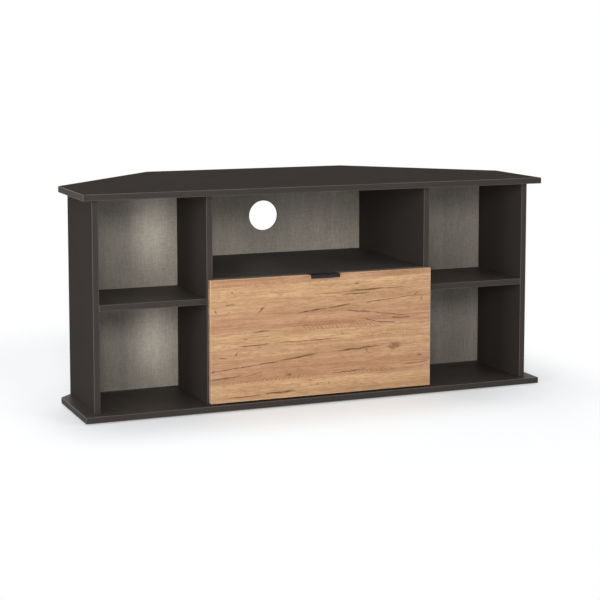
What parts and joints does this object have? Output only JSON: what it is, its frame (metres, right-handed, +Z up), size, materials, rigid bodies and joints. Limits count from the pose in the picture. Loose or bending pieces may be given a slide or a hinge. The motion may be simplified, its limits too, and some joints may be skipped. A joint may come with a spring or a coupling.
{
  "type": "corner tv cabinet",
  "caption": "Low corner cabinet for a television: open side bays with shelves, an open niche with a cable hole and a wide drawer on telescopic slides between two corner-cut boards.",
  "frame": {"origin": "on the floor, in the middle of the cabinet's width and depth", "axes": "+X to the right seen from the front, +Y to the back into the room's corner, +Z up; the drawer front faces -Y"},
  "size_m": [1.2, 0.5594, 0.5369],
  "materials": {
    "graphite_board": "fine-pored matt graphite melamine with matching edge band",
    "oak_board": "golden oak decor, matt, with fine cracks and horizontal grain",
    "linen_panel": "thin fibreboard with a warm grey woven linen decor",
    "drawer_board": "matt dark grey melamine",
    "black_metal": "matt black powder coat",
    "zinc_steel": "bright zinc plate",
    "dark_zinc": "black zinc",
    "dark_plastic": "moulded polyethylene"
  },
  "bodies": {
    "root": {"base_board": "graphite_board", "top_board": "graphite_board", "side_panel_left": "graphite_board", "side_panel_right": "graphite_board", "partition_left": "graphite_board", "partition_right": "graphite_board", "middle_shelf": "graphite_board", "side_shelf_left": "graphite_board", "side_shelf_right": "graphite_board", "back_panel_left": "linen_panel", "back_panel_right": "linen_panel", "back_panel_middle": "linen_panel", "slide_outer_left": "zinc_steel", "slide_outer_right": "zinc_steel", "screw_side_panel_left_front": "zinc_steel", "screw_side_panel_left_rear": "zinc_steel", "screw_partition_left_front": "zinc_steel", "screw_partition_left_rear": "zinc_steel", "screw_partition_right_front": "zinc_steel", "screw_partition_right_rear": "zinc_steel", "screw_side_panel_right_front": "zinc_steel", "screw_side_panel_right_rear": "zinc_steel", "cam_side_panel_left_front": "dark_zinc", "cam_side_panel_left_rear": "dark_zinc", "cam_partition_left_front": "dark_zinc", "cam_partition_left_rear": "dark_zinc", "cam_partition_right_front": "dark_zinc", "cam_partition_right_rear": "dark_zinc", "cam_side_panel_right_front": "dark_zinc", "cam_side_panel_right_rear": "dark_zinc", "cam_middle_shelf_left_front": "dark_zinc", "cam_middle_shelf_left_rear": "dark_zinc", "cam_middle_shelf_right_front": "dark_zinc", "cam_middle_shelf_right_rear": "dark_zinc", "shelf_pin_left_outer_front": "dark_zinc", "shelf_pin_left_outer_rear": "dark_zinc", "shelf_pin_left_inner_front": "dark_zinc", "shelf_pin_left_inner_rear": "dark_zinc", "shelf_pin_right_outer_front": "dark_zinc", "shelf_pin_right_outer_rear": "dark_zinc", "shelf_pin_right_inner_front": "dark_zinc", "shelf_pin_right_inner_rear": "dark_zinc", "glide_left_front": "dark_plastic", "glide_left_side": "dark_plastic", "glide_left_rear": "dark_plastic", "glide_right_front": "dark_plastic", "glide_right_side": "dark_plastic", "glide_right_rear": "dark_plastic"},
    "drawer": {"drawer_front": "oak_board", "drawer_handle": "black_metal", "handle_screw_left": "zinc_steel", "handle_screw_right": "zinc_steel", "drawer_side_left": "drawer_board", "drawer_side_right": "drawer_board", "drawer_back": "drawer_board", "drawer_bottom": "linen_panel", "slide_inner_left": "zinc_steel", "slide_inner_right": "zinc_steel"},
    "middle_slide_left": {"slide_middle_left": "zinc_steel"},
    "middle_slide_right": {"slide_middle_right": "zinc_steel"}
  },
  "joints": [
    {"name": "drawer_slide", "type": "slide", "parent": "root", "child": "drawer", "axis": [0, -1, 0], "range_m": [0, 0.34]},
    {"name": "middle_slide_left_run", "type": "slide", "parent": "root", "child": "middle_slide_left", "axis": [0, -1, 0], "range_m": [0, 0.17]},
    {"name": "middle_slide_right_run", "type": "slide", "parent": "root", "child": "middle_slide_right", "axis": [0, -1, 0], "range_m": [0, 0.17]}
  ],
  "couplings": [
    {"joint": "middle_slide_left_run", "follows": "drawer_slide", "ratio": 0.5},
    {"joint": "middle_slide_right_run", "follows": "drawer_slide", "ratio": 0.5}
  ]
}
